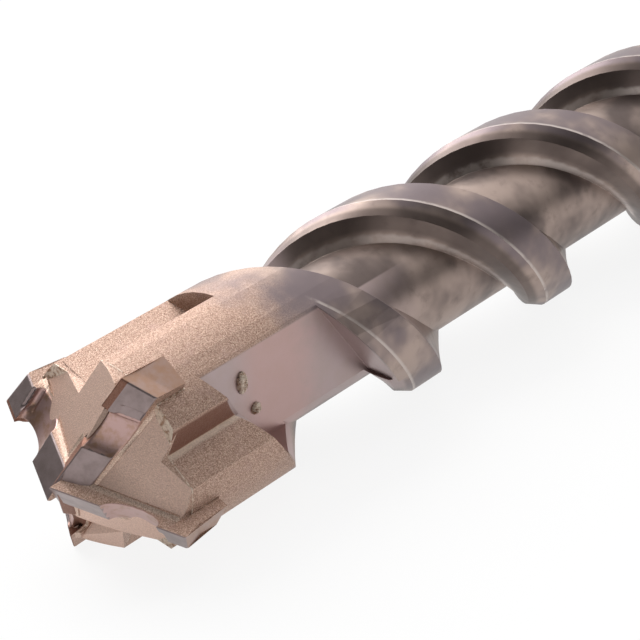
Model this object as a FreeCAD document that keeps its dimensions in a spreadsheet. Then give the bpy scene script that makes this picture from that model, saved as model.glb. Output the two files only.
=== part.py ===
import FreeCAD, Part
import math
import os
import re
import Sketcher
from FreeCAD import Placement, Rotation, Vector

# A four-edged hammer drill bit, lying on a floor: a fluted steel body with its
# grooved shank, a hard metal head in a cross slot, and the braze between them.
# Each piece is drawn with the bit's axis on its own Z axis. Z = 0 is the seat of
# the head, the cutting point lies below it and the shank above it. Turns are
# degrees round that axis, and "front" is the side of the cutting point.

DRIVING_SIZES = {
    "OverallLength": 200.0,
    "HeadDiameter": 20.0,
    # fluted body: two lands that wind round a core
    "BodyDiameter": 17.2,
    "CoreDiameter": 10.8,
    "FluteLead": 38.5,
    "LandWidth": 4.0,
    "NoseLength": 1.7,
    "NoseDrop": 0.85,
    "FlankLength": 2.6,
    "BackLength": 2.4,
    "BodyLength": 134.0,
    "ShoulderLength": 8.0,
    "FirstEdgeHeight": 19.1,
    "FirstEdgeTurn": 77.0,
    "FluteStartTurn": 146.0,
    "RunoutDepth": 3.55,
    "RunoutOverlap": 2.3,
    "RunoutNose": 1.2,
    # notches between the wings, cut along the neck
    "WideNotchTurn": 18.0,
    "WideNotchSpan": 40.0,
    "WideNotchRootTurn": 23.0,
    "WideNotchDepth": 2.6,
    "WideNotchLength": 12.7,
    "SlimNotchTurn": 111.5,
    "SlimNotchSpan": 33.5,
    "SlimNotchRootTurn": 110.0,
    "SlimNotchDepth": 1.95,
    "SlimNotchLength": 13.0,
    # shank for the quick chuck
    "ShankDiameter": 10.0,
    "ShankChamfer": 1.5,
    "DriveGrooveWidth": 3.6,
    "DriveGrooveDepth": 1.75,
    "DriveGrooveLength": 33.0,
    "DriveGrooveFlare": 12.0,
    "BallGrooveDiameter": 6.8,
    "BallGrooveDepth": 1.4,
    "BallGrooveLength": 19.4,
    "BallGrooveSetback": 13.7,
    # hard metal head: four wings on a hub with four sloping floors
    "FirstWingTurn": 67.5,
    "SecondWingTurn": 150.5,
    "WingLead": 0.95,
    "WingTrail": 1.75,
    "WingRootDepth": 2.9,
    "FirstWingSetback": 0.35,
    "PointHeight": 7.2,
    "PointSlope": 26.5,
    "CornerTaper": 0.35,
    "CornerLength": 1.7,
    "ClearanceAngle": 28.0,
    "ReliefAngle": 10.0,
    "BitePlace": 6.0,
    "BiteRadius": 2.45,
    "BiteDepth": 1.3,
    "FloorHeight": 6.45,
    "FloorSlope": 38.0,
    # braze in the joint, and what ran out of it
    "BrazeGap": 0.1,
    "BeadWidth": 1.0,
    "LongBeadPlace": 9.6,
    "LongBeadAside": -4.0,
    "LongBeadLength": 2.0,
    "ShortBeadPlace": 11.1,
    "ShortBeadAside": -0.9,
    "ShortBeadLength": 1.0,
}

ALL_THROUGH = "60"
ROUND_TURN = 360.0
HALF_TURN = 180.0
FACE_OVERRUN = 1.0
LEAST_CHANGE = 0.01

doc = FreeCAD.newDocument("DrillBit")
sheet = doc.addObject("Spreadsheet::Sheet", "Sizes")
for row, (alias, number) in enumerate(DRIVING_SIZES.items(), start=1):
    sheet.set("A%d" % row, alias)
    sheet.set("B%d" % row, repr(number))
    sheet.setAlias("B%d" % row, alias)
doc.recompute()

RADIUS = "BodyDiameter / 2"
CORE = "CoreDiameter / 2"
SHANK = "ShankDiameter / 2"
SHANK_END = "(OverallLength - PointHeight)"
SEAT_GAP = "BrazeGap"
RUNOUT_FLOOR = "(%s - RunoutDepth)" % RADIUS
RUNOUT_TURN = "(FirstEdgeTurn + acos(%s / (%s)) / 1deg)" % (RUNOUT_FLOOR, RADIUS)


def named(expression):
    """The expression with each name of the sheet written as Sizes.Name."""
    def with_sheet(match):
        word = match.group()
        return "Sizes." + word if word in DRIVING_SIZES else word
    return re.sub(r"[A-Za-z_]\w*", with_sheet, expression)


def value(expression):
    """Number that an expression on the sheet's names gives."""
    return float(sheet.evalExpression(named(expression)))


def bind(item, path, expression):
    """Tie one property of an object to an expression on the sheet's names."""
    item.setExpression(path, named(expression))


def polar(radius, turn):
    """Corner at a radius and a turn round the axis."""
    return ("(%s) * cos(%s)" % (radius, turn), "(%s) * sin(%s)" % (radius, turn))


def stretched(start, through, factor):
    """Corner on the line from start through a second corner, so many times as far."""
    return tuple("(%s) + %s * ((%s) - (%s))" % (a, factor, b, a) for a, b in zip(start, through))


def new_body(label):
    """Body of its own for one piece."""
    body = doc.addObject("PartDesign::Body", label)
    body.Label = label
    return body


def origin_feature(body, role):
    """Plane or axis of a body's own origin."""
    return next(f for f in body.Origin.OriginFeatures if f.Role == role)


def new_sketch(body, name, role, lift=None):
    """Empty sketch on one of the body's origin planes, lifted along its normal."""
    sketch = body.newObject("Sketcher::SketchObject", name)
    sketch.AttachmentSupport = [(origin_feature(body, role), "")]
    sketch.MapMode = "FlatFace"
    if lift is not None:
        bind(sketch, "AttachmentOffset.Base.z", lift)
    return sketch


def axial_sketch(body, name, turn, sideways="0", outwards="0"):
    """Empty sketch in the plane through the axis at a turn: x runs out, y along the axis.

    The plane is moved sideways along the growing turn, and its origin outwards.
    """
    sketch = new_sketch(body, name, "XZ_Plane")
    sketch.AttachmentOffset = Placement(Vector(), Rotation(Vector(0, 1, 0), 1))
    bind(sketch, "AttachmentOffset.Rotation.Angle", turn)
    bind(sketch, "AttachmentOffset.Base.x",
         "(%s) * cos(%s) - (%s) * sin(%s)" % (outwards, turn, sideways, turn))
    bind(sketch, "AttachmentOffset.Base.z",
         "-(%s) * sin(%s) - (%s) * cos(%s)" % (outwards, turn, sideways, turn))
    return sketch


def draw_outline(sketch, corners, arcs=None):
    """Closed outline whose corners are pairs of expressions.

    arcs gives, for the edge that starts at a corner, its radius and the side on which
    it bulges: 1 for the right of its way, -1 for the left.
    """
    arcs = arcs or {}
    points = [Vector(value(x), value(y), 0) for x, y in corners]
    starts = []
    for index, point in enumerate(points):
        other = points[(index + 1) % len(points)]
        if index in arcs:
            radius, side = arcs[index]
            edge, flipped = arc_edge(point, other, value(radius), side)
            number = sketch.addGeometry(edge, False)
            starts.append((number, 2 if flipped else 1, 1 if flipped else 2))
            rule = sketch.addConstraint(Sketcher.Constraint("Radius", number, value(radius)))
            bind(sketch, "Constraints[%d]" % rule, radius)
        else:
            number = sketch.addGeometry(Part.LineSegment(point, other), False)
            starts.append((number, 1, 2))
    for index, (number, _, end) in enumerate(starts):
        follower, start, _ = starts[(index + 1) % len(starts)]
        sketch.addConstraint(Sketcher.Constraint("Coincident", number, end, follower, start))
    for (number, start, _), (x, y), point in zip(starts, corners, points):
        for kind, expression, number_now in (("DistanceX", x, point.x), ("DistanceY", y, point.y)):
            rule = sketch.addConstraint(
                Sketcher.Constraint(kind, -1, 1, number, start, number_now))
            bind(sketch, "Constraints[%d]" % rule, expression)


def arc_edge(start, end, radius, side):
    """Arc from start to end that bulges to one side, and whether it runs backwards."""
    chord = end - start
    half = chord.Length / 2
    left = Vector(-chord.y, chord.x, 0).normalize()
    centre = (start + end) * 0.5 + left * (side * math.sqrt(max(radius ** 2 - half ** 2, 0.0)))
    circle = Part.Circle(centre, Vector(0, 0, 1), radius)
    first = math.atan2(start.y - centre.y, start.x - centre.x)
    last = math.atan2(end.y - centre.y, end.x - centre.x)
    if side > 0:
        return Part.ArcOfCircle(circle, first, last if last > first else last + 2 * math.pi), False
    return Part.ArcOfCircle(circle, last, first if first > last else first + 2 * math.pi), True


def draw_circle(sketch, radius):
    """Circle round the sketch's origin."""
    circle = Part.Circle(Vector(), Vector(0, 0, 1), value(radius))
    number = sketch.addGeometry(circle, False)
    sketch.addConstraint(Sketcher.Constraint("Coincident", number, 3, -1, 1))
    rule = sketch.addConstraint(Sketcher.Constraint("Radius", number, value(radius)))
    bind(sketch, "Constraints[%d]" % rule, radius)


def add_feature(body, kind, name, sketch, length=None, reverse=False):
    """Feature that works on one sketch."""
    feature = body.newObject("PartDesign::" + kind, name)
    feature.Profile = sketch
    feature.Refine = False
    if length is not None:
        bind(feature, "Length", length)
    feature.Reversed = reverse
    body.Tip = feature
    return feature


def pad(body, name, sketch, length, reverse=False):
    """Solid grown from a sketch."""
    return add_feature(body, "Pad", name, sketch, length, reverse)


def pocket(body, name, sketch, length, reverse=False):
    """Recess cut against the sketch's normal, or along it if reversed."""
    doc.recompute()
    before = body.Shape.Volume
    feature = add_feature(body, "Pocket", name, sketch, length, reverse)
    doc.recompute()
    if not body.Shape.Volume < before:
        raise RuntimeError(name + " cuts nothing")
    return feature


def turned(body, name, features, count):
    """Copies of features, evenly round the axis."""
    pattern = body.newObject("PartDesign::PolarPattern", name)
    pattern.Originals = features
    pattern.Axis = (origin_feature(body, "Z_Axis"), [""])
    pattern.Angle = ROUND_TURN
    pattern.Occurrences = count
    pattern.Refine = False
    before = body.Shape.Volume
    body.Tip = pattern
    doc.recompute()
    if abs(body.Shape.Volume - before) < LEAST_CHANGE:
        raise RuntimeError(name + " changes nothing")
    return pattern


def draw_notch(sketch, turn, span, root_turn, depth):
    """V outline from a root below the surface out past the surface."""
    root = polar("%s - %s" % (RADIUS, depth), root_turn)
    near = stretched(root, polar(RADIUS, "%s - %s / 2" % (turn, span)), 2)
    far = stretched(root, polar(RADIUS, "%s + %s / 2" % (turn, span)), 2)
    draw_outline(sketch, [root, near, far])


def draw_cross_bar(sketch, turn, reach, margin):
    """Staggered bar of two opposite wings, which meet at the axis."""
    lead = "(WingLead + %s)" % margin
    trail = "(WingTrail + %s)" % margin
    places = [(reach, "-" + lead), (reach, trail), ("0", trail), ("0", lead),
              ("-(%s)" % reach, lead), ("-(%s)" % reach, "-" + trail), ("0", "-" + trail),
              ("0", "-" + lead)]
    draw_outline(sketch, [("(%s) * cos(%s) - (%s) * sin(%s)" % (out, turn, side, turn),
                           "(%s) * sin(%s) + (%s) * cos(%s)" % (out, turn, side, turn))
                          for out, side in places])


def edge_height(turn):
    """Height at which a land's front edge passes a turn."""
    return "(FirstEdgeHeight + FluteLead * ((%s) - FirstEdgeTurn) / 360)" % turn


def edge_rise():
    """Rise of a land's edge for each millimetre round the surface."""
    return "FluteLead / (2 * pi * %s)" % RADIUS


def make_steel_body():
    """Shank, shoulder and fluted stretch, turned, fluted and notched from one bar."""
    body = new_body("steel_body")
    blank = new_sketch(body, "bar_outline", "XZ_Plane")
    draw_outline(blank, [
        ("0", "0"), (RADIUS, "0"), (RADIUS, "BodyLength"),
        (SHANK, "BodyLength + ShoulderLength"), (SHANK, SHANK_END + " - ShankChamfer"),
        (SHANK + " - ShankChamfer", SHANK_END), ("0", SHANK_END)])
    turned_bar = add_feature(body, "Revolution", "turned_bar", blank)
    turned_bar.ReferenceAxis = (blank, ["V_Axis"])
    turned_bar.Angle = ROUND_TURN
    doc.recompute()
    cut_neck(body)
    cut_flutes(body)
    cut_runouts(body)
    cut_shank(body)
    return body


def cut_flutes(body):
    """Two helical flutes. Their front flank has a rounded nose, their back slopes."""
    front = edge_height("FluteStartTurn")
    back = "(%s - FluteLead / 2 + LandWidth)" % front
    clear = "(%s + NoseDrop / 2)" % RADIUS
    section = axial_sketch(body, "flute_section", "FluteStartTurn")
    draw_outline(section, [
        (CORE, front + " - FlankLength"),
        (RADIUS + " - NoseDrop", front + " - NoseLength"),
        (clear, front + " + NoseLength / 2"),
        (clear, back + " - BackLength * NoseDrop / (BodyDiameter - CoreDiameter)"),
        (CORE, back + " + BackLength")])
    flute = add_feature(body, "SubtractiveHelix", "flute", section)
    flute.ReferenceAxis = (section, ["V_Axis"])
    flute.Mode = "pitch-height-angle"
    bind(flute, "Pitch", "FluteLead")
    bind(flute, "Height", "BodyLength + ShoulderLength + BackLength - %s" % back)
    doc.recompute()
    turned(body, "flutes", [flute], 2)


def cut_runouts(body):
    """Flat run-outs where the flutes rise to the neck, slanted at both ends as the lands are."""
    outline = axial_sketch(body, "runout_outline", RUNOUT_TURN + " + 90")
    bind(outline, "AttachmentOffset.Base.x", "%s * cos(%s)" % (RUNOUT_FLOOR, RUNOUT_TURN))
    bind(outline, "AttachmentOffset.Base.z", "-%s * sin(%s)" % (RUNOUT_FLOOR, RUNOUT_TURN))
    rear = edge_height(RUNOUT_TURN) + " - RunoutNose"
    front = edge_height(RUNOUT_TURN) + " - FluteLead / 2 + LandWidth"
    near = "-(%s + RunoutOverlap)" % RADIUS
    far = "RunoutOverlap"
    draw_outline(outline, [
        (near, "%s + (%s) * %s" % (front, near, edge_rise())),
        (far, "%s + (%s) * %s" % (front, far, edge_rise())),
        (far, "%s + (%s) * %s" % (rear, far, edge_rise())),
        (near, "%s + (%s) * %s" % (rear, near, edge_rise()))])
    runout = pocket(body, "runout", outline, RADIUS, reverse=True)
    turned(body, "runouts", [runout], 2)


def cut_neck(body):
    """Cross slot for the head, and notches that lead dust back from between the wings."""
    for name in ("First", "Second"):
        outline = new_sketch(body, name.lower() + "_slot_outline", "XY_Plane")
        draw_cross_bar(outline, name + "WingTurn", RADIUS + " + %s" % FACE_OVERRUN, SEAT_GAP)
        pocket(body, name.lower() + "_slot", outline, "WingRootDepth + " + SEAT_GAP, reverse=True)
    for name in ("Slim", "Wide"):
        outline = new_sketch(body, name.lower() + "_notch_outline", "XY_Plane")
        draw_notch(outline, name + "NotchTurn", name + "NotchSpan", name + "NotchRootTurn",
                   name + "NotchDepth")
        notch = pocket(body, name.lower() + "_notch", outline, name + "NotchLength", reverse=True)
        turned(body, name.lower() + "_notches", [notch], 2)


def cut_shank(body):
    """Two open grooves that the chuck drives, and two closed ones that its balls hold."""
    drive = new_sketch(body, "drive_groove_outline", "XY_Plane", SHANK_END)
    floor = "(%s - DriveGrooveDepth)" % SHANK
    rim = "(%s + %s)" % (SHANK, FACE_OVERRUN)
    wide = "(DriveGrooveWidth / 2 + (DriveGrooveDepth + %s) * tan(DriveGrooveFlare))" % FACE_OVERRUN
    draw_outline(drive, [(floor, "-DriveGrooveWidth / 2"), (rim, "-" + wide), (rim, wide),
                         (floor, "DriveGrooveWidth / 2")])
    groove = pocket(body, "drive_groove", drive, "DriveGrooveLength")
    turned(body, "drive_grooves", [groove], 2)
    reach = "(BallGrooveDiameter / 2)"
    hollow = axial_sketch(body, "ball_groove_outline", "90", "0",
                          "%s - BallGrooveDepth + %s" % (SHANK, reach))
    last = "(%s - BallGrooveSetback)" % SHANK_END
    first = "(%s - BallGrooveLength)" % last
    draw_outline(hollow, [("0", first), (reach, first + " + " + reach),
                          (reach, last + " - " + reach), ("0", last)],
                 {0: (reach, 1), 2: (reach, 1)})
    ball = add_feature(body, "Groove", "ball_groove", hollow)
    ball.ReferenceAxis = (hollow, ["V_Axis"])
    ball.Angle = ROUND_TURN
    doc.recompute()
    turned(body, "ball_grooves", [ball], 2)


def wing_profile(body, name, turn, setback):
    """Outline of a wing in the plane of its cutting edge, with the round bite in the edge."""
    sketch = axial_sketch(body, name + "_edge_outline", turn, "-WingLead")
    point = "-PointHeight + %s" % setback
    half_bite = "(sqrt(BiteRadius ^ 2 - (BiteRadius - BiteDepth) ^ 2) * cos(PointSlope))"
    tip = "(sqrt((HeadDiameter / 2) ^ 2 - WingLead ^ 2))"
    rear = "WingRootDepth + %s" % FACE_OVERRUN

    def on_edge(out):
        return (out, "%s + (%s) * tan(PointSlope)" % (point, out))

    corner = on_edge(tip)
    draw_outline(sketch, [
        on_edge("0"), on_edge("BitePlace - " + half_bite), on_edge("BitePlace + " + half_bite),
        corner, (tip + " - CornerTaper", corner[1] + " + CornerLength"),
        (tip + " - CornerTaper", rear), ("0", rear)],
        {1: ("BiteRadius", -1)})
    return sketch


def make_head():
    """Head pressed and sintered in one: a hub with four floors, and four wings on it."""
    body = new_body("carbide_head")
    disc = new_sketch(body, "hub_outline", "XY_Plane", "-" + SEAT_GAP)
    draw_circle(disc, RADIUS)
    pad(body, "hub", disc, "PointHeight", reverse=True)
    for name in ("Wide", "Slim"):
        outline = new_sketch(body, name.lower() + "_hub_notch_outline", "XY_Plane")
        draw_notch(outline, name + "NotchTurn", name + "NotchSpan", name + "NotchRootTurn",
                   name + "NotchDepth")
        notch = pocket(body, name.lower() + "_hub_notch", outline, ALL_THROUGH)
        turned(body, name.lower() + "_hub_notches", [notch], 2)
    middle = "((FirstWingTurn + SecondWingTurn) / 2)"
    front = axial_sketch(body, "floor_line", middle)
    reach = "HeadDiameter"
    draw_outline(front, [
        ("-" + reach, "-FloorHeight - %s * tan(FloorSlope)" % reach),
        (reach, "-FloorHeight + %s * tan(FloorSlope)" % reach),
        (reach, "-%s * 3" % reach), ("-" + reach, "-%s * 3" % reach)])
    floor = pocket(body, "floor", front, ALL_THROUGH)
    floor.Midplane = True
    doc.recompute()
    turned(body, "floors", [floor], 4)
    for name, turn, setback in (("first", "FirstWingTurn", "FirstWingSetback"),
                                ("second", "SecondWingTurn", "0")):
        edge = wing_profile(body, name, turn, setback)
        wing = pad(body, name + "_wing", edge, "WingLead + WingTrail")
        wing.UseCustomVector = True
        wing.AlongSketchNormal = True
        turn_now = math.radians(value(turn))
        outward = Vector(math.cos(turn_now), math.sin(turn_now), 0)
        sideways = Vector(-math.sin(turn_now), math.cos(turn_now), 0)
        wing.Direction = (sideways
                          - outward * math.tan(math.radians(value("ReliefAngle")))
                          + Vector(0, 0, math.tan(math.radians(value("ClearanceAngle")))))
        doc.recompute()
        turned(body, name + "_wings", [wing], 2)
    rear = new_sketch(body, "root_outline", "XY_Plane", "WingRootDepth")
    draw_circle(rear, "HeadDiameter")
    pocket(body, "root_face", rear, ALL_THROUGH, reverse=True)
    return body


def make_braze():
    """Thin filler between the head and the slot, as thick as the gap all over."""
    body = new_body("braze_joint")
    disc = new_sketch(body, "seat_outline", "XY_Plane", "-" + SEAT_GAP)
    draw_circle(disc, RADIUS)
    pad(body, "seat_layer", disc, SEAT_GAP)
    for name in ("Wide", "Slim"):
        outline = new_sketch(body, name.lower() + "_seat_notch_outline", "XY_Plane")
        draw_notch(outline, name + "NotchTurn", name + "NotchSpan", name + "NotchRootTurn",
                   name + "NotchDepth")
        notch = pocket(body, name.lower() + "_seat_notch", outline, ALL_THROUGH)
        turned(body, name.lower() + "_seat_notches", [notch], 2)
    for name in ("First", "Second"):
        outline = new_sketch(body, name.lower() + "_lining_outline", "XY_Plane", "-" + SEAT_GAP)
        draw_cross_bar(outline, name + "WingTurn", RADIUS + " - %s" % SEAT_GAP, SEAT_GAP)
        pad(body, name.lower() + "_lining", outline, "WingRootDepth + 2 * " + SEAT_GAP)
    for name in ("First", "Second"):
        outline = new_sketch(body, name.lower() + "_hollow_outline", "XY_Plane", "WingRootDepth")
        draw_cross_bar(outline, name + "WingTurn", RADIUS + " + %s" % FACE_OVERRUN, "0")
        pocket(body, name.lower() + "_hollow", outline, ALL_THROUGH)
    return body


def rest_placement():
    """Where the bit lies: on its lands and on the front corner of one wing."""
    wing_corner = value("FirstWingTurn") + HALF_TURN - math.degrees(
        math.asin(value("WingLead") * 2 / value("HeadDiameter")))
    # the corner of a head no wider than the lands points straight down, clear of the floor
    lean = 0.0
    if value("HeadDiameter") > value("BodyDiameter"):
        lean = math.degrees(math.acos(value("BodyDiameter") / value("HeadDiameter")))
    up_turn = wing_corner - lean - HALF_TURN
    lying = Rotation(Vector(0, 0, 1), Vector(0, -1, 0), Vector(1, 0, 0), "ZYX")
    upright = Rotation(Vector(0, 0, 1), -up_turn)
    middle = value("OverallLength") / 2 - value("PointHeight")
    return Placement(Vector(-middle, 0, value(RADIUS)), lying.multiply(upright))


def make_bead(label, name):
    """Drop of braze that ran back and set on the flat run-out."""
    drop = doc.addObject("Part::Ellipsoid", label + "_drop")
    bind(drop, "Radius1", "BeadWidth / 2")
    bind(drop, "Radius2", "BeadWidth / 2")
    bind(drop, "Radius3", name + "BeadLength / 2")
    stand(drop, RUNOUT_TURN + " + %s" % HALF_TURN, RUNOUT_FLOOR, name + "BeadAside",
          name + "BeadPlace")
    bed = doc.addObject("Part::Box", label + "_bed")
    bind(bed, "Length", RADIUS)
    bind(bed, "Width", "BodyDiameter")
    bind(bed, "Height", "BodyLength")
    stand(bed, RUNOUT_TURN, "%s - %s" % (RUNOUT_FLOOR, RADIUS), "-" + RADIUS, "0")
    bead = doc.addObject("Part::Cut", label)
    bead.Base = drop
    bead.Tool = bed
    bead.Label = label
    return bead


def stand(item, turn, out, aside, along):
    """Place an object by its distances from the axis, in the frame of the flat run-out."""
    item.Placement = Placement(Vector(), Rotation(Vector(0, 0, 1), 1))
    bind(item, "Placement.Rotation.Angle", turn)
    bind(item, "Placement.Base.x",
         "(%s) * cos(%s) - (%s) * sin(%s)" % (out, RUNOUT_TURN, aside, RUNOUT_TURN))
    bind(item, "Placement.Base.y",
         "(%s) * sin(%s) + (%s) * cos(%s)" % (out, RUNOUT_TURN, aside, RUNOUT_TURN))
    bind(item, "Placement.Base.z", along)


pieces = [make_steel_body(), make_head(), make_braze(),
          make_bead("long_braze_bead", "Long"), make_bead("short_braze_bead", "Short")]
doc.recompute()
for piece in pieces:
    piece.Placement = rest_placement()
doc.recompute()

for item in doc.Objects:
    if "Invalid" in item.State or "Error" in item.State:
        raise RuntimeError("%s could not be built: %s" % (item.Name, item.State))

os.makedirs("parts", exist_ok=True)
for piece in pieces:
    shape = piece.Shape
    if shape.isNull() or not shape.isValid() or len(shape.Solids) != 1:
        raise RuntimeError(piece.Label + " is not one sound solid")
    shape.exportStep("parts/%s.step" % piece.Label)
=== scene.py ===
import math
from collections import namedtuple

import bmesh
import bpy
import numpy as np
from mathutils import Matrix, Vector


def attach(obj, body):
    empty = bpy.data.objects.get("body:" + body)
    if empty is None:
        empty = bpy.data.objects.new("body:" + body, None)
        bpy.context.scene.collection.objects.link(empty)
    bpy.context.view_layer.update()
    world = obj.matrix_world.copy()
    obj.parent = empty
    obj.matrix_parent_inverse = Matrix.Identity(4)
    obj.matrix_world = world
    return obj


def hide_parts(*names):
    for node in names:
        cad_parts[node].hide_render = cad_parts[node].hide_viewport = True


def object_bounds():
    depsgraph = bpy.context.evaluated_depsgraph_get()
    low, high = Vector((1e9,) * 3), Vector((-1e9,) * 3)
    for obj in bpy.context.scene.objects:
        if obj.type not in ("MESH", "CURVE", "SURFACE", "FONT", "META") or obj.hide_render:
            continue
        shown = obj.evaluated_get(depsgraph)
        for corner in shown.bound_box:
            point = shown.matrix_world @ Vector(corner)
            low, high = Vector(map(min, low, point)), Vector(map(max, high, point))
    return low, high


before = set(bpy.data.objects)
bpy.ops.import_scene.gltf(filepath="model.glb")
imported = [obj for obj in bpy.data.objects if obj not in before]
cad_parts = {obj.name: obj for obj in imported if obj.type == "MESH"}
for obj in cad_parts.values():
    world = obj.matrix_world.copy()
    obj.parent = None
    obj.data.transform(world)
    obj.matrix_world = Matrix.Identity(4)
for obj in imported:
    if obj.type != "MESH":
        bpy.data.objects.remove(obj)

# The looks of a four-edged hammer drill bit that lies on a pale floor.
# Sizes are in millimetres and turns round the bit in degrees. A place along the bit is
# its distance back from the seat of the head towards the shank. On the head, heights
# are ahead of that seat. place() turns them into metres where the bit lies.

MM = 0.001
cad_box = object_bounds()

# Sizes of the bit: its lands and its length fill the box of its solids
BODY_RADIUS = (cad_box[1][2] - cad_box[0][2]) / 2 / MM
POINT_HEIGHT = 7.2
SEAT_TO_MIDDLE = (cad_box[1][0] - cad_box[0][0]) / 2 / MM - POINT_HEIGHT
TURN_ON_TOP = 31.37
FLUTE_LEAD = 38.5
FLUTE_RISE = FLUTE_LEAD / 360
FIRST_EDGE_BACK = 19.1
FIRST_EDGE_TURN = 77.0
RUNOUT_TURN = 131.0
RUNOUT_BACK = 9.9

# Rounded edges, and what counts as sharp, flat, short or at one place
SHARP_ANGLE = math.radians(26)
FLAT_ANGLE = math.radians(0.05)
EDGE_ROUND = 0.07
STEEL_EDGE_ROUND = 0.1
ROUND_STEPS = 2
ROUND_PROFILE = 0.5
SHORT_EDGE = 0.4
SAME_PLACE = 0.0001

# Kinds of faces on the head, kept in a layer of its mesh for the material
KIND_LAYER = "face_kind"
BLASTED_FACE = 0.0
FLOOR_FACE = 1.0
GROUND_FACE = 2.0
BITE_FACE = 3.0
CORNER_FACE = 4.0
CREASE_FACE = 5.0
EDGE_FACE = 6.0
SHADED_FACE = 7.0
SAME_KIND = (0.45, 0.35)


def place(out, turn, back):
    """Point in the frame, in metres, of a radius, a turn and a distance back from the seat."""
    angle = np.radians(np.asarray(turn, float) - TURN_ON_TOP)
    out = np.asarray(out, float)
    return np.stack(np.broadcast_arrays(
        (np.asarray(back, float) - SEAT_TO_MIDDLE) * MM,
        -out * np.sin(angle) * MM,
        (BODY_RADIUS + out * np.cos(angle)) * MM), axis=-1)


def direction(out_zero, out_ninety, back):
    """Direction in the frame, of parts along turn 0, along turn 90 and back along the bit."""
    top = math.radians(TURN_ON_TOP)
    return Vector((back,
                   out_zero * math.sin(top) - out_ninety * math.cos(top),
                   out_zero * math.cos(top) + out_ninety * math.sin(top)))


# Materials: sums on sockets

# sockets of the node that mixes two colours
MIX_LOW = 6
MIX_HIGH = 7
MIX_RESULT = 2


class Signal:
    """A number that varies over a surface, with sums that add their own nodes."""

    def __init__(self, shader, socket):
        self.shader = shader
        self.socket = socket

    def math(self, operation, *others):
        return self.shader.add("ShaderNodeMath", {"operation": operation},
                               dict(enumerate((self,) + others)))

    def __add__(self, other):
        return self.math("ADD", other)

    def __radd__(self, other):
        return self.math("ADD", other)

    def __sub__(self, other):
        return self.math("SUBTRACT", other)

    def __rsub__(self, other):
        return self.shader.number(other).math("SUBTRACT", self)

    def __mul__(self, other):
        return self.math("MULTIPLY", other)

    def __pow__(self, other):
        return self.math("POWER", other)

    def floored_modulo(self, other):
        return self.math("FLOORED_MODULO", other)

    def between(self, low, high):
        """0 below low, 1 above high and smooth between; the other way round if low is higher."""
        rising = {"Value": self, "From Min": min(low, high), "From Max": max(low, high)}
        step = self.shader.add("ShaderNodeMapRange", {"interpolation_type": "SMOOTHSTEP"}, rising)
        return step if high > low else 1 - step

    def within(self, start, full, fading, end):
        """1 from full to fading, 0 before start and past end, and smooth between."""
        return self.between(start, full) * self.between(end, fading)

    def wandering(self, noise, far):
        """The number moved by a noise, by up to half of far each way."""
        return self + (noise - 0.5) * far


class Shader:
    """The nodes of a material or a world, added one call at a time."""

    def __init__(self, owner):
        self.owner = owner
        owner.use_nodes = True
        self.tree = owner.node_tree
        self.tree.nodes.clear()

    def add(self, kind, settings=None, inputs=None, output=0):
        """New node: its settings first, then numbers or links for its sockets."""
        node = self.tree.nodes.new(kind)
        for name, setting in (settings or {}).items():
            setattr(node, name, setting)
        for name, given in (inputs or {}).items():
            if isinstance(given, Signal):
                self.tree.links.new(given.socket, node.inputs[name])
            else:
                node.inputs[name].default_value = given
        return Signal(self, node.outputs[output]) if node.outputs else None

    def number(self, given):
        """A number as a signal."""
        return self.add("ShaderNodeMath", {"operation": "ADD"}, {0: given, 1: 0.0})

    def ray(self, kind):
        """1 for rays of one kind and 0 for all others."""
        return self.add("ShaderNodeLightPath", output=kind)

    def mix(self, factor, low, high):
        """Colour that goes from low to high as the factor goes from 0 to 1."""
        return self.add("ShaderNodeMix", {"data_type": "RGBA"}, {
            "Factor": factor, MIX_LOW: rgba(low), MIX_HIGH: rgba(high)}, MIX_RESULT)

    def layers(self, colour, *tints):
        """Colour with tints laid over it in turn, each given as its share and its colour."""
        for share, tint in tints:
            colour = self.mix(share, colour, tint)
        return colour

    def noise(self, at, scale, detail=2.0, rough=0.5):
        """Soft noise from 0 to 1, mostly near 0.5; scale is in patches for each millimetre."""
        return self.add("ShaderNodeTexNoise", {}, {
            "Vector": at, "Scale": scale, "Detail": detail, "Roughness": rough})

    def bump(self, height, strength, depth):
        """Normal that a height tilts; a height of 1 is as high as depth, in millimetres."""
        return self.add("ShaderNodeBump", {}, {
            "Strength": strength, "Distance": depth * MM, "Height": height})

    def glow(self, kind, colour, strength):
        """Even light of a colour, from a surface or from the sky."""
        return self.add(kind, {}, {"Color": rgba(colour), "Strength": strength})

    def finish(self, **inputs):
        """Principled surface as the material's output."""
        surface = self.add("ShaderNodeBsdfPrincipled", {}, inputs)
        self.add("ShaderNodeOutputMaterial", {}, {"Surface": surface})
        return self.owner


def rgba(colour):
    """Colour that a socket takes: a signal as it is, or three numbers made opaque."""
    return colour if isinstance(colour, Signal) else (*colour, 1.0)


def in_millimetres(shader):
    """Object coordinates in millimetres."""
    at = shader.add("ShaderNodeTexCoord", output="Object")
    return shader.add("ShaderNodeVectorMath", {"operation": "SCALE"}, {0: at, "Scale": 1 / MM})


def bit_places(shader, at):
    """Distance back from the seat, radius and turn of a point of the bit."""
    split = shader.tree.nodes.new("ShaderNodeSeparateXYZ")
    shader.tree.links.new(at.socket, split.inputs[0])
    x, y, z = (Signal(shader, socket) for socket in split.outputs)
    up = z - BODY_RADIUS
    radius = (y * y + up * up) ** 0.5
    turn = (0 - y).math("ARCTAN2", up) * (180 / math.pi) + TURN_ON_TOP
    return x + SEAT_TO_MIDDLE, radius, turn


# Materials: colours

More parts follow.
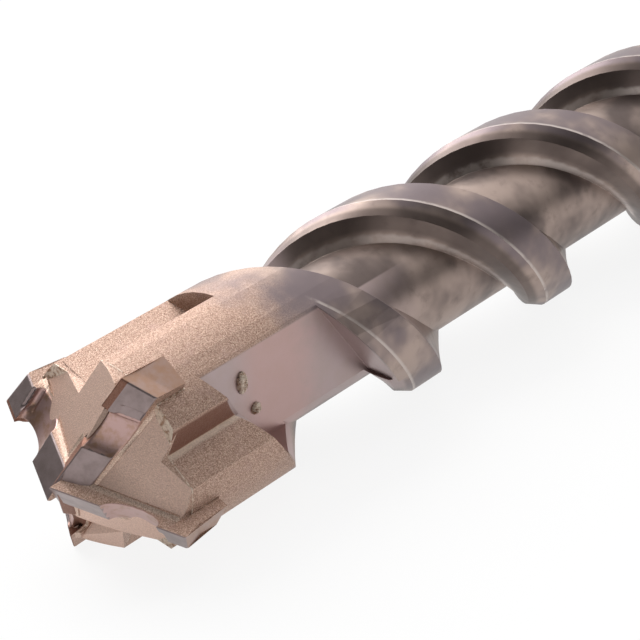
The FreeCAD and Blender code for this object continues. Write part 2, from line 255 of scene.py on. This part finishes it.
WHITE = (1.0, 1.0, 1.0)
GOLD = (0.66, 0.47, 0.375)
DEEP_GOLD = (0.36, 0.225, 0.17)
# the floors' paler gold: partly their own blasted tone, partly painted light
FLOOR_GOLD = (0.92, 0.67, 0.56)
# pale colour of painted glints and highlights
PALE_HIGHLIGHT = (0.95, 0.80, 0.67)
LILAC = (0.46, 0.36, 0.355)
ROSE = (0.52, 0.345, 0.32)
HEAT_ROSE = (0.58, 0.34, 0.30)
BROWN_GOLD = (0.40, 0.24, 0.165)
RED_BROWN = (0.21, 0.09, 0.06)
SMOKE = (0.15, 0.115, 0.105)
GREY_STEEL = (0.44, 0.34, 0.295)
# the dark steel serves both dark patches and the valleys' painted shade; the worn steel serves
# both real edge wear and the ridges' painted highlight
DARK_STEEL_AND_SHADE = (0.12, 0.09, 0.08)
LILAC_STEEL = (0.22, 0.175, 0.185)
WEAR_AND_HIGHLIGHT_STEEL = (0.62, 0.54, 0.50)
BRAZE_BROWN = (0.36, 0.20, 0.12)
BRAZE_PALE = (0.78, 0.66, 0.55)
BRAZE_PORE = (0.08, 0.05, 0.04)
METAL_SHARE = 0.85

# Materials: where each finish of the steel lies

# two numbers go from none of it to all of it, and four from none to all and back to none;
# BACK, START and END count back from the seat, FRONT from the front line of the run-out
# and RADIUS from the axis, and CLOUDS, BLOTCHES and WANDER say how far a border wanders
NECK_BACK = (20.5, 11.0)
NECK_CLOUDS = 14.0
NECK_BLOTCHES = 4.0
# the slim notch takes painted shade on its flank and a painted highlight along its bottom
NOTCH_RADIUS = (8.5, 8.2)
NOTCH_FLANK = (94.0, 96.0, 108.5, 110.5)
NOTCH_BOTTOM = (108.5, 109.5, 111.5, 114.0)
NOTCH_WANDER = 2.0
RUNOUT_TURNS = (74.0, 76.0, 160.0, 176.0)
RUNOUT_FRONT = (-0.2, 0.0)
RUNOUT_RADIUS = (8.42, 8.2)
RUNOUT_END = (34.0, 24.0)
HEAT_START = (8.0, 12.0)
HEAT_END = (20.0, 15.0)
HEAT_WANDER = 5.0
FLUTES_START = (22.0, 24.0)
LAND_RADIUS = (8.1, 8.4)
# the flutes' ridge takes a painted highlight and their valley painted shade, painted in place of
# the ridge's shape
RIDGE_BEHIND_EDGE = (16.5, 16.75, 16.85, 17.0)
VALLEY_BEHIND_EDGE = (16.85, 17.15, 18.2, 18.9)
VALLEY_RADIUS = (8.4, 8.0)
WEAR_BEHIND_EDGE = (0.45, 0.15)
WEAR_RADIUS = (8.0, 8.4)
WEAR_START = (18.4, 19.4)


# Materials: finishes

# where a noise is between two numbers, they say which part of its patches takes a tint,
# and the factor after them says how strong the tint is at most


def blasted_gold(shader, grain, grit, blotch):
    """Colour of a blasted surface: gold-brown grains with painted pale glints and deeper patches.
    """
    return shader.layers(
        DEEP_GOLD,
        (grain.between(0.34, 0.66), GOLD),
        (grit.between(0.6, 0.78) * 0.75, PALE_HIGHLIGHT),
        (grit.between(0.42, 0.3) * 0.7, RED_BROWN),
        (blotch.between(0.5, 0.8) * 0.35, ROSE))


def slim_notch_painted_shade_and_highlight(shader, colour, radius, half_turn, blotch):
    """Painted shade in red-brown on the shaded flank of the slim notch, and a painted highlight as
    a pale line along its bottom.
    """
    inside = radius.between(*NOTCH_RADIUS)
    edge = half_turn.wandering(blotch, NOTCH_WANDER)
    return shader.layers(
        colour,
        (inside * edge.within(*NOTCH_FLANK) * 0.85, RED_BROWN),
        (inside * edge.within(*NOTCH_BOTTOM) * 0.55, PALE_HIGHLIGHT))


def steel_finish():
    """Blasted gold-brown neck, smooth lilac run-outs with a heat tint, dark drawn flutes with
    painted shade in their valleys and a painted highlight on their ridges.
    """
    steel = Shader(bpy.data.materials.new("blasted_steel"))
    at = in_millimetres(steel)
    back, radius, turn = bit_places(steel, at)
    half_turn = turn.floored_modulo(180.0)
    behind_edge = back - FIRST_EDGE_BACK - (turn - FIRST_EDGE_TURN) * FLUTE_RISE
    behind_edge = behind_edge.floored_modulo(FLUTE_LEAD / 2)
    cloud = steel.noise(at, scale=0.16, detail=3.0)
    blotch = steel.noise(at, scale=0.7, detail=4.0, rough=0.6)
    grain = steel.noise(at, scale=8.0, detail=2.0, rough=0.7)
    grit = steel.noise(at, scale=13.0, detail=1.0, rough=0.5)

    past_front_line = back - (half_turn - RUNOUT_TURN) * FLUTE_RISE - RUNOUT_BACK
    in_runout = (half_turn.within(*RUNOUT_TURNS) * past_front_line.between(*RUNOUT_FRONT)
                 * radius.between(*RUNOUT_RADIUS) * back.between(*RUNOUT_END))
    neck_end = back.wandering(cloud, NECK_CLOUDS).wandering(blotch, NECK_BLOTCHES)
    blasted = neck_end.between(*NECK_BACK) * (1 - in_runout)
    heat_end = back.wandering(blotch, HEAT_WANDER).between(*HEAT_END)
    heat = in_runout * heat_end * back.between(*HEAT_START)
    fluted = back.between(*FLUTES_START)
    on_land = radius.between(*LAND_RADIUS)
    # painted highlight along each flute's ridge and painted shade in the valley beside it
    ridge_highlight = behind_edge.within(*RIDGE_BEHIND_EDGE) * fluted
    valley_shade = behind_edge.within(*VALLEY_BEHIND_EDGE) * radius.between(*VALLEY_RADIUS) * fluted
    edge_wear = (behind_edge.between(*WEAR_BEHIND_EDGE) * radius.between(*WEAR_RADIUS)
                 * back.between(*WEAR_START))

    gold = blasted_gold(steel, grain, grit, blotch)
    # painted shade on the slim notch's flank and a painted highlight along its bottom
    gold = slim_notch_painted_shade_and_highlight(steel, gold, radius, half_turn, blotch)
    smooth = steel.layers(
        LILAC,
        (blotch.between(0.35, 0.7) * 0.35, GREY_STEEL),
        (heat * 0.45, HEAT_ROSE),
        (grain.between(0.62, 0.75) * 0.25, DEEP_GOLD))
    drawn = steel.layers(
        GREY_STEEL,
        (cloud.between(0.38, 0.66), SMOKE),
        (blotch.between(0.5, 0.85) * 0.5, DARK_STEEL_AND_SHADE),
        (on_land * cloud.between(0.35, 0.6) * 0.8, LILAC_STEEL),
        # painted shade in the valleys and a painted highlight along the ridges
        (valley_shade * (0.55 + cloud * 0.5), DARK_STEEL_AND_SHADE),
        (ridge_highlight * blotch.between(0.25, 0.55) * 0.55, WEAR_AND_HIGHLIGHT_STEEL),
        (edge_wear * blotch.between(0.25, 0.5) * 0.8, WEAR_AND_HIGHLIGHT_STEEL))
    relief = grain * blasted + grit * blasted * 0.8 + blotch * (1 - blasted) * 0.12
    return steel.finish(**{
        "Base Color": steel.layers(drawn, (in_runout, smooth), (blasted, gold)),
        "Metallic": METAL_SHARE,
        "Roughness": 0.34 + blasted * 0.2 + (1 - blasted) * blotch * 0.1,
        "Normal": steel.bump(relief, strength=0.55, depth=0.07)})


def hard_metal_finish():
    """Fine matt hard metal: blasted gold faces, smooth lilac ground faces, gritty creases; floors
    paler and creases lighter, partly their own blasted tone and partly painted light, and
    shoulders in painted shade.
    """
    metal = Shader(bpy.data.materials.new("hard_metal"))
    at = in_millimetres(metal)
    blotch = metal.noise(at, scale=0.9, detail=4.0, rough=0.6)
    grain = metal.noise(at, scale=8.5, detail=2.0, rough=0.7)
    grit = metal.noise(at, scale=13.0, detail=1.0, rough=0.5)
    kind = metal.add("ShaderNodeAttribute", {"attribute_name": KIND_LAYER}, output="Fac")

    def of_kind(number):
        return (kind - number).math("ABSOLUTE").between(*SAME_KIND)

    ground = of_kind(GROUND_FACE)
    bite = of_kind(BITE_FACE)
    corner = of_kind(CORNER_FACE)
    smooth_part = ground + bite + corner
    colour = metal.layers(
        blasted_gold(metal, grain, grit, blotch),
        # floors paler gold and creases lighter, partly their own blasted tone and partly painted
        # light; shaded faces take painted shade
        (of_kind(FLOOR_FACE) * 0.5, FLOOR_GOLD),
        (ground, metal.mix(blotch.between(0.3, 0.8) * 0.3 + 0.42, LILAC, SMOKE)),
        (bite, metal.mix(blotch.between(0.4, 0.7), ROSE, BROWN_GOLD)),
        (corner, metal.mix(blotch.between(0.3, 0.8) * 0.5, BROWN_GOLD, LILAC)),
        (of_kind(CREASE_FACE) * 0.45, metal.mix(grit.between(0.4, 0.6), GOLD, PALE_HIGHLIGHT)),
        (of_kind(EDGE_FACE) * blotch.between(0.35, 0.5) * 0.6, WEAR_AND_HIGHLIGHT_STEEL),
        (of_kind(SHADED_FACE) * 0.85, RED_BROWN))
    relief = (grain + grit * 0.7) * (1 - smooth_part * 0.75)
    return metal.finish(**{
        "Base Color": colour,
        "Metallic": METAL_SHARE,
        "Roughness": 0.5 - smooth_part * 0.14,
        "Normal": metal.bump(relief, strength=0.5, depth=0.06)})


def braze_finish():
    """Crumbly pale braze with dark pores."""
    braze = Shader(bpy.data.materials.new("braze"))
    at = in_millimetres(braze)
    blotch = braze.noise(at, scale=2.5, detail=3.0, rough=0.6)
    grain = braze.noise(at, scale=9.0, detail=2.0, rough=0.7)
    colour = braze.layers(
        BRAZE_BROWN,
        (blotch.between(0.3, 0.6), BRAZE_PALE),
        (grain.between(0.62, 0.7), BRAZE_PORE))
    return braze.finish(**{
        "Base Color": colour,
        "Metallic": 0.6,
        "Roughness": 0.45 + grain * 0.2,
        "Normal": braze.bump(grain + blotch, strength=0.7, depth=0.1)})


# The head: its four wings and the floors between them

# a wing reaches from its cutting edge, WING_LEAD before its turn, to WING_TRAIL after it,
# and from ROOT_DEPTH behind the seat to its cap
WING_LEAD = 0.95
WING_TRAIL = 1.75
ROOT_DEPTH = 2.9
# the cap's falls, for each millimetre out and for each one back from the cutting edge
EDGE_FALL = 0.4986
BACK_FALL = 0.615
# the reach at the cutting edge, its loss for each millimetre back and along the corner
REACH = 9.93
RELIEF = 0.17
CORNER_TAPER = 0.35
CORNER_LENGTH = 1.7
# the rounding of the cap's edges, and the cap's bite, shoulder and pocket
WING_ROUND = 0.12
BITE_FULLNESS = 0.15
SHOULDER_SLOPE = 1.9
SHOULDER_END = (6.9, 7.5)
POCKET_DEPTH = 0.3
POCKET_ALONG = (7.05, 7.3, 7.9, 8.15)
POCKET_ACROSS = (0.0, 0.3, 1.6, 1.9)
# the floors: height on the axis, fall for each millimetre out, and the degrees by which
# the steepest fall is turned from the middle
FLOOR_TOP = 5.9
FLOOR_FALL = 0.777
FLOOR_TWIST = 10.5
# the crease at the foot of a wing, and the edge of the hub that carries it
CREASE_WIDTH = 0.3
HUB_RADIUS = BODY_RADIUS
HUB_RIM = (HUB_RADIUS - 0.35, HUB_RADIUS - 0.1)

# numbers of rows and columns, the share of the reach past which rows are closer, where
# the first of those lies, and the least distance between two columns
CAP_ROWS = 170
RIM_ROWS = 12
CORNER_ROWS = 24
CAP_COLUMNS = 34
WALL_COLUMNS = 3
RIM_SHARE = 0.97
RIM_START = 0.1
LEAST_GAP = 0.01

# the solid's own wings, drawn in under the new ones: how far they sink below the floors,
# the share of their width and reach that stays, and their reach at most
OLD_WING_SINK = 0.05
OLD_WIDTH_SHARE = 0.96
OLD_REACH_SHARE = 0.99
OLD_WING_REACH = HUB_RADIUS - 0.3
# what counts as a floor of the solid, as above the seat and as in the width of a wing
LOOKS_AHEAD = -0.5
LEAST_FLOOR_AREA = 20.0
ABOVE_SEAT = 0.02
OLD_WING_MARGIN = 0.01
STRIP_MARGIN = 0.05

# each wing: its turn, how far its cap is set back, the place, half width and depth of its
# bite, and the width of the shoulder by its cutting edge
Wing = namedtuple("Wing", "turn setback bite_place bite_half bite_depth shoulder")
WINGS = (
    Wing(67.5, 0.35, 5.6, 1.65, 0.75, 0.6),
    Wing(150.5, 0.0, 5.75, 2.05, 1.25, 0.0),
    Wing(247.5, 0.35, 5.6, 1.65, 0.75, 0.6),
    Wing(330.5, 0.0, 5.75, 2.05, 1.25, 0.3),
)
# turn in the middle of the floor that follows each wing, and turn of its steepest fall
FLOOR_MIDDLES = [(wing.turn + (following.turn - wing.turn) % 360 / 2) % 360
                 for wing, following in zip(WINGS, WINGS[1:] + WINGS[:1])]
FLOOR_FALL_TURNS = [middle - FLOOR_TWIST for middle in FLOOR_MIDDLES]


def soft_step(x, low, high):
    """0 below low, 1 above high and s s (3 - 2 s) of the share s between."""
    share = np.clip((np.asarray(x, float) - low) / (high - low), 0, 1)
    return share * share * (3 - 2 * share)


def soft_band(x, start, full, fading, end):
    """1 from full to fading, 0 before start and past end, and smooth between."""
    return soft_step(x, start, full) * (1 - soft_step(x, fading, end))


def rounding(distance):
    """Drop near a rounded edge: r - sqrt(r r - n n), n into the rounding of radius r."""
    near = WING_ROUND - np.clip(distance, 0, WING_ROUND)
    return WING_ROUND - np.sqrt(WING_ROUND ** 2 - near ** 2)


def round_the_axis(wing, along, across):
    """Radius and turn of a point that lies along and across a wing."""
    return np.hypot(along, across), wing.turn + np.degrees(np.arctan2(across, along))


def floor_height(out, turn, fall_turn):
    """Height of a floor ahead of the seat: FLOOR_TOP - FLOOR_FALL out cos(turn - fall_turn)."""
    return FLOOR_TOP - FLOOR_FALL * out * np.cos(np.radians(turn - fall_turn))


def wing_height(wing, along, across):
    """Height of a wing's cap: it falls out along the wing and back from its cutting edge.

    h = POINT_HEIGHT - setback - EDGE_FALL u - BACK_FALL (v + WING_LEAD) - bite - slope - pocket
    for u along and v across, with a round bite, a sloped shoulder by the inner part of the
    cutting edge and a shallow pocket near the outer end.
    """
    fall = EDGE_FALL * along + BACK_FALL * (across + WING_LEAD)
    nearness = np.clip(1 - ((along - wing.bite_place) / wing.bite_half) ** 2, 0, 1)
    bite = wing.bite_depth * np.sqrt(nearness * (1 + BITE_FULLNESS * (1 - nearness)))
    inner = 1 - soft_step(along, *SHOULDER_END)
    slope = SHOULDER_SLOPE * np.clip(wing.shoulder - WING_LEAD - across, 0, None) * inner
    pocket = POCKET_DEPTH * soft_band(along, *POCKET_ALONG) * soft_band(across, *POCKET_ACROSS)
    return POINT_HEIGHT - wing.setback - fall - bite - slope - pocket


def wall_columns(wing, fall_turn, along, across, height, bottom_reach):
    """Three columns of points down one wall, from along, across and height of its top.

    The first lies CREASE_WIDTH above the floor beside the wing, the second just under the
    floor and as far out from the wall, and the third under the first at ROOT_DEPTH. Off
    the hub, where there is no floor, the first two stay just under the cap.
    """
    out, turn = round_the_axis(wing, along, across)
    floor_here = floor_height(out, turn, fall_turn)
    on_hub = 1 - soft_step(out, *HUB_RIM)
    away = np.sign(across) * CREASE_WIDTH * on_hub
    wall_foot = np.minimum(floor_here + CREASE_WIDTH, height - 2 * LEAST_GAP)
    crease_foot = np.minimum(floor_here - 3 * LEAST_GAP, wall_foot - LEAST_GAP)
    wall_foot = np.where(on_hub > 0, wall_foot, height - 2 * LEAST_GAP)
    crease_foot = np.where(on_hub > 0, crease_foot, height - 3 * LEAST_GAP)
    level = np.full_like(along, across)
    return np.stack([
        np.stack([along, level, np.maximum(wall_foot, -ROOT_DEPTH)], -1),
        np.stack([along, level + away, np.maximum(crease_foot, -ROOT_DEPTH)], -1),
        np.stack([np.minimum(along, bottom_reach), level, np.full_like(along, -ROOT_DEPTH)], -1),
    ], 1)


def wing_surface(number):
    """Points, faces and kinds of one wing.

    Rows run out along the wing and then down its corner, columns round its section. The
    cap lies at wing_height() less the rounding of its edges, the corner goes down from
    the cap's last row and leans in by CORNER_TAPER, and wall_columns() close the sides.
    """
    wing = WINGS[number]
    across = -WING_LEAD + (WING_LEAD + WING_TRAIL) * (
        0.5 - 0.5 * np.cos(np.linspace(0, np.pi, CAP_COLUMNS)))
    reach = REACH - RELIEF * (across + WING_LEAD)
    rim = RIM_SHARE + (1 - RIM_SHARE) * np.linspace(RIM_START, 1, RIM_ROWS)
    rows = np.concatenate([np.linspace(0, RIM_SHARE, CAP_ROWS), rim])
    cap_faces = len(rows) - 1
    cap_along = rows[:, None] * reach
    cap_height = (wing_height(wing, cap_along, across)
                  - rounding(np.minimum(across + WING_LEAD, WING_TRAIL - across))
                  - rounding(reach - cap_along))
    drop = np.linspace(0, 1, CORNER_ROWS)[1:, None] * (cap_height[-1] + ROOT_DEPTH)
    corner_along = reach - CORNER_TAPER * np.clip(drop / CORNER_LENGTH, 0, 1)
    along = np.concatenate([cap_along, corner_along])
    height = np.concatenate([cap_height, cap_height[-1] - drop])

    before, after = (
        wall_columns(wing, fall_turn, along[:, side], across[side], height[:, side],
                     reach[side] - CORNER_TAPER)
        for side, fall_turn in ((0, FLOOR_FALL_TURNS[number - 1]), (-1, FLOOR_FALL_TURNS[number])))
    middle = np.stack([along, np.broadcast_to(across, along.shape), height], -1)
    grid = np.concatenate([before[:, ::-1], middle, after], 1)
    count_rows, count_columns = grid.shape[:2]

    row = np.arange(count_rows - 1)[:, None]
    column = np.arange(count_columns)
    following = (column + 1) % count_columns
    quads = np.stack([row * count_columns + column, (row + 1) * count_columns + column,
                      (row + 1) * count_columns + following, row * count_columns + following], -1)
    faces = quads.reshape(-1, 4).tolist() + [list(range(count_columns))]

    face_along = (grid[:-1, :, 0] + grid[1:, :, 0]) / 2
    in_bite = np.abs(face_along - wing.bite_place) < wing.bite_half
    on_shoulder = (across[:-1] + across[1:]) / 2 < wing.shoulder - WING_LEAD
    kinds = np.where(in_bite, BITE_FACE, GROUND_FACE)
    kinds[cap_faces:] = CORNER_FACE
    before_cap = WALL_COLUMNS
    after_cap = count_columns - WALL_COLUMNS - 1
    kinds[:, :before_cap] = (BLASTED_FACE, CREASE_FACE, BLASTED_FACE)
    kinds[:, after_cap:] = (BLASTED_FACE, CREASE_FACE, BLASTED_FACE, BLASTED_FACE)
    kinds[:cap_faces, before_cap:after_cap][:, on_shoulder] = SHADED_FACE

    out, turn = round_the_axis(wing, grid[..., 0], grid[..., 1])
    points = place(out, turn, -grid[..., 2])
    return points.reshape(-1, 3), faces, np.append(kinds, BLASTED_FACE)


def on_wing(point):
    """Number of the nearest wing, a point's places along and across it, and these two ways."""
    from_axis = point / MM - Vector((0, 0, BODY_RADIUS))
    found = []
    for number, wing in enumerate(WINGS):
        angle = math.radians(wing.turn - TURN_ON_TOP)
        along_way = Vector((0, -math.sin(angle), math.cos(angle)))
        across_way = Vector((0, -math.cos(angle), -math.sin(angle)))
        found.append((number, from_axis.dot(along_way), from_axis.dot(across_way),
                      along_way, across_way))
    return max(found, key=lambda wing: wing[1])


def in_strip(vertex, margin=STRIP_MARGIN):
    """Whether a vertex lies in the width of a wing."""
    across = on_wing(vertex.co)[2]
    return -WING_LEAD - margin < across < WING_TRAIL + margin


def nearest_floor(face):
    """Number of the floor whose middle is nearest to a face, by turn."""
    centre = face.calc_center_median() / MM - Vector((0, 0, BODY_RADIUS))
    turn = math.degrees(math.atan2(-centre.y, centre.z)) + TURN_ON_TOP
    apart = [abs((turn - middle + 180) % 360 - 180) for middle in FLOOR_MIDDLES]
    return apart.index(min(apart))


def sink_wings(work, layer):
    """Set the floors of the head to their planes and sink the old wings under the new ones."""
    falls_at = {}
    for face in work.faces:
        if face.normal.x < LOOKS_AHEAD and face.calc_area() > LEAST_FLOOR_AREA * MM * MM:
            face[layer] = FLOOR_FACE
            fall_turn = FLOOR_FALL_TURNS[nearest_floor(face)]
            for vertex in face.verts:
                falls_at.setdefault(vertex, []).append(fall_turn)
    wing_middle = (WING_TRAIL - WING_LEAD) / 2
    for vertex in work.verts:
        number, along, across, along_way, across_way = on_wing(vertex.co)
        out, around = round_the_axis(WINGS[number], along, across)
        beside = (FLOOR_FALL_TURNS[number - 1], FLOOR_FALL_TURNS[number])
        height = -(vertex.co.x / MM + SEAT_TO_MIDDLE)
        if vertex in falls_at:
            height = min(floor_height(out, around, fall) for fall in falls_at[vertex])
        elif height > ABOVE_SEAT:
            lowest = min(floor_height(out, around, fall) for fall in beside)
            height = min(height, lowest - OLD_WING_SINK)
        if in_strip(vertex, OLD_WING_MARGIN):
            narrow = wing_middle + (across - wing_middle) * OLD_WIDTH_SHARE
            inward = along - min(along * OLD_REACH_SHARE, OLD_WING_REACH)
            vertex.co += (across_way * (narrow - across) - along_way * inward) * MM
        vertex.co.x = (-height - SEAT_TO_MIDDLE) * MM


def round_sharp_edges(work, layer):
    """Round the sharp edges outside the wings and give the new faces their kind."""
    sharp = [edge for edge in work.edges
             if edge.is_manifold and edge.is_convex and edge.calc_face_angle(0) > SHARP_ANGLE
             and edge.calc_length() > SHORT_EDGE * MM and not any(map(in_strip, edge.verts))]
    made = bmesh.ops.bevel(work, geom=sharp, offset=EDGE_ROUND * MM, segments=ROUND_STEPS,
                           profile=ROUND_PROFILE, affect="EDGES", clamp_overlap=True)
    for face in made["faces"]:
        face[layer] = EDGE_FACE


def add_wing(work, number):
    """Add a wing to the mesh of the head and close its own seams."""
    points, faces, kinds = wing_surface(number)
    mesh = bpy.data.meshes.new("wing")
    mesh.from_pydata(points, [], faces)
    mesh.attributes.new(KIND_LAYER, "FLOAT", "FACE").data.foreach_set("value", kinds)
    known = len(work.verts)
    work.from_mesh(mesh)
    bpy.data.meshes.remove(mesh)
    work.verts.ensure_lookup_table()
    bmesh.ops.remove_doubles(work, verts=work.verts[known:], dist=SAME_PLACE * MM)


def shape_head(work):
    """Turn the solid's head into the dressed one, with the kinds of its faces."""
    layer = work.faces.layers.float.new(KIND_LAYER)
    sink_wings(work, layer)
    round_sharp_edges(work, layer)
    for number in range(len(WINGS)):
        add_wing(work, number)
    bmesh.ops.dissolve_degenerate(work, dist=SAME_PLACE * MM, edges=work.edges)
    bmesh.ops.recalc_face_normals(work, faces=work.faces)


# Lumps of a braze bead: waves for each millimetre along x, y and z, their start and size
LUMPS = (
    (7.1, 1.3, 0.0, 0.0, 1.0),
    (0.0, 8.3, 2.1, 1.0, 1.0),
    (1.7, 0.0, 9.7, 2.0, 1.0),
    (19.0, 17.0, 23.0, 0.0, 0.6),
)
LUMP_DEPTH = 0.2
HIGHEST_LUMP = 0.2
SPLITS = 2


def crumble(work):
    """Lumps on a bead: each corner moves along its normal by a third of the sum of LUMPS."""
    work.normal_update()
    bmesh.ops.triangulate(work, faces=work.faces)
    for repeat in range(SPLITS):
        bmesh.ops.subdivide_edges(work, edges=work.edges, cuts=1, use_grid_fill=True)
    work.normal_update()
    for vertex in work.verts:
        x, y, z = vertex.co / MM
        lump = sum(size * math.sin(along_x * x + along_y * y + along_z * z + start)
                   for along_x, along_y, along_z, start, size in LUMPS) / 3
        vertex.co += vertex.normal * (min(lump, HIGHEST_LUMP) * LUMP_DEPTH * MM)


def dressed_copy(node, material, shape=None, edge_round=0.0):
    """Copy of a node, welded, with its curved faces smooth; shape changes its mesh first."""
    name = node + "_dressed"
    work = bmesh.new()
    work.from_mesh(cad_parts[node].data)
    bmesh.ops.remove_doubles(work, verts=work.verts, dist=SAME_PLACE * MM)
    bmesh.ops.dissolve_limit(work, angle_limit=FLAT_ANGLE, verts=work.verts, edges=work.edges)
    if shape:
        shape(work)
    mesh = bpy.data.meshes.new(name)
    work.to_mesh(mesh)
    work.free()
    mesh.materials.append(material)
    mesh.shade_smooth()
    mesh.set_sharp_from_angle(angle=SHARP_ANGLE)
    piece = bpy.data.objects.new(name, mesh)
    bpy.context.scene.collection.objects.link(piece)
    if edge_round:
        bevel = piece.modifiers.new("rounded_edges", "BEVEL")
        bevel.width = edge_round * MM
        bevel.segments = ROUND_STEPS
        bevel.limit_method = "ANGLE"
        bevel.angle_limit = SHARP_ANGLE
    even = piece.modifiers.new("flat_faces_flat", "WEIGHTED_NORMAL")
    even.keep_sharp = True
    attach(piece, "root")
    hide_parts(node)


dressed_copy("steel_body", steel_finish(), edge_round=STEEL_EDGE_ROUND)
dressed_copy("carbide_head", hard_metal_finish(), shape_head)
braze_material = braze_finish()
dressed_copy("braze_joint", braze_material)
for bead in ("long_braze_bead", "short_braze_bead"):
    dressed_copy(bead, braze_material, crumble)

# The floor: mostly white to the camera and in the metal, and for the rest matt, which
# takes the shadow
FLOOR_SIZE = 6.0
FLOOR_COLOUR = (0.9, 0.9, 0.9)
WHITE_TO_CAMERA = 0.88
WHITE_IN_MIRRORS = 0.72

half = FLOOR_SIZE / 2
floor_mesh = bpy.data.meshes.new("floor")
floor_mesh.from_pydata([(-half, -half, 0), (half, -half, 0), (half, half, 0), (-half, half, 0)],
                       [], [(0, 1, 2, 3)])
floor = bpy.data.objects.new("floor", floor_mesh)
bpy.context.scene.collection.objects.link(floor)

pale = Shader(bpy.data.materials.new("pale_floor"))
in_mirror = pale.ray("Is Glossy Ray") + pale.ray("Is Transmission Ray")
white_share = pale.ray("Is Camera Ray") * WHITE_TO_CAMERA + in_mirror * WHITE_IN_MIRRORS
matt = pale.add("ShaderNodeBsdfDiffuse", {}, {"Color": rgba(FLOOR_COLOUR)})
bright = pale.glow("ShaderNodeEmission", WHITE, 1.0)
both = pale.add("ShaderNodeMixShader", {}, {0: white_share, 1: matt, 2: bright})
pale.add("ShaderNodeOutputMaterial", {}, {"Surface": both})
floor_mesh.materials.append(pale.owner)

# The studio is bright above and behind the bit and dim towards the camera, so that
# faces that look ahead stay dark. To the camera itself the sky is white. Directions
# are degrees round and above the floor.
CEILING = 1.15
WALLS = 0.12
BRIGHT_ROUND = 30.0
BRIGHT_ABOVE = 50.0
BRIGHT_SPREAD = (0.25, 0.85)


def towards_sky(around, above):
    """Direction from the bit to a place in the sky."""
    around, above = math.radians(around), math.radians(above)
    return Vector((math.cos(above) * math.cos(around), math.cos(above) * math.sin(around),
                   math.sin(above)))


world = bpy.data.worlds.new("studio")
bpy.context.scene.world = world
sky = Shader(world)
outward = sky.add("ShaderNodeTexCoord", output="Generated")
nearness = sky.add("ShaderNodeVectorMath", {"operation": "DOT_PRODUCT"},
                   {0: outward, 1: towards_sky(BRIGHT_ROUND, BRIGHT_ABOVE)}, "Value")
overhead = nearness.between(*BRIGHT_SPREAD)
studio_air = sky.glow("ShaderNodeBackground", WHITE, overhead * (CEILING - WALLS) + WALLS)
white_air = sky.glow("ShaderNodeBackground", WHITE, 1.0)
air = sky.add("ShaderNodeMixShader", {}, {
    0: sky.ray("Is Camera Ray"), 1: studio_air, 2: white_air})
sky.add("ShaderNodeOutputWorld", {}, {"Surface": air})

# The lamp: a softbox that looks at the neck
LAMP_ROUND = 75.0
LAMP_ABOVE = 48.0
LAMP_DISTANCE = 0.7
LAMP_SIZE = 0.6
LAMP_POWER = 4.5
NECK_MIDDLE = 10.0

lamp_data = bpy.data.lights.new("key_lamp", "AREA")
lamp_data.shape = "SQUARE"
lamp_data.size = LAMP_SIZE
lamp_data.energy = LAMP_POWER
lamp = bpy.data.objects.new("key_lamp", lamp_data)
bpy.context.scene.collection.objects.link(lamp)
towards_lamp = towards_sky(LAMP_ROUND, LAMP_ABOVE)
lamp.location = Vector(place(0, 0, NECK_MIDDLE)) + towards_lamp * LAMP_DISTANCE
lamp.rotation_euler = towards_lamp.to_track_quat("Z", "Y").to_euler()

# The camera stands ahead of the point and above it, and looks down and back along the
# bit. Its place is a radius, a turn and a distance back from the seat, and directions
# give the picture's right and down and the line of sight. All were fitted to the bit's
# outline in the photograph.
CAMERA_OUT = 154.4
CAMERA_TURN = 90.0
CAMERA_BACK = -105.8
LENS = 133.46
SENSOR = 36.0
NEAREST_SEEN = 0.01
FARTHEST_SEEN = 20.0
right = direction(-0.5186, 0.5522, 0.6527)
down = direction(-0.8550, -0.3383, -0.3931)
forward = direction(0.0037, -0.7620, 0.6476)

camera_data = bpy.data.cameras.new("photo_camera")
camera_data.lens = LENS
camera_data.sensor_width = SENSOR
camera_data.clip_start = NEAREST_SEEN
camera_data.clip_end = FARTHEST_SEEN
camera = bpy.data.objects.new("photo_camera", camera_data)
bpy.context.scene.collection.objects.link(camera)
camera.matrix_world = Matrix((
    (right.x, -down.x, -forward.x, 0), (right.y, -down.y, -forward.y, 0),
    (right.z, -down.z, -forward.z, 0), (0, 0, 0, 1)))
camera.location = Vector(place(CAMERA_OUT, CAMERA_TURN, CAMERA_BACK))
bpy.context.scene.camera = camera

bpy.context.scene.view_settings.view_transform = "Standard"
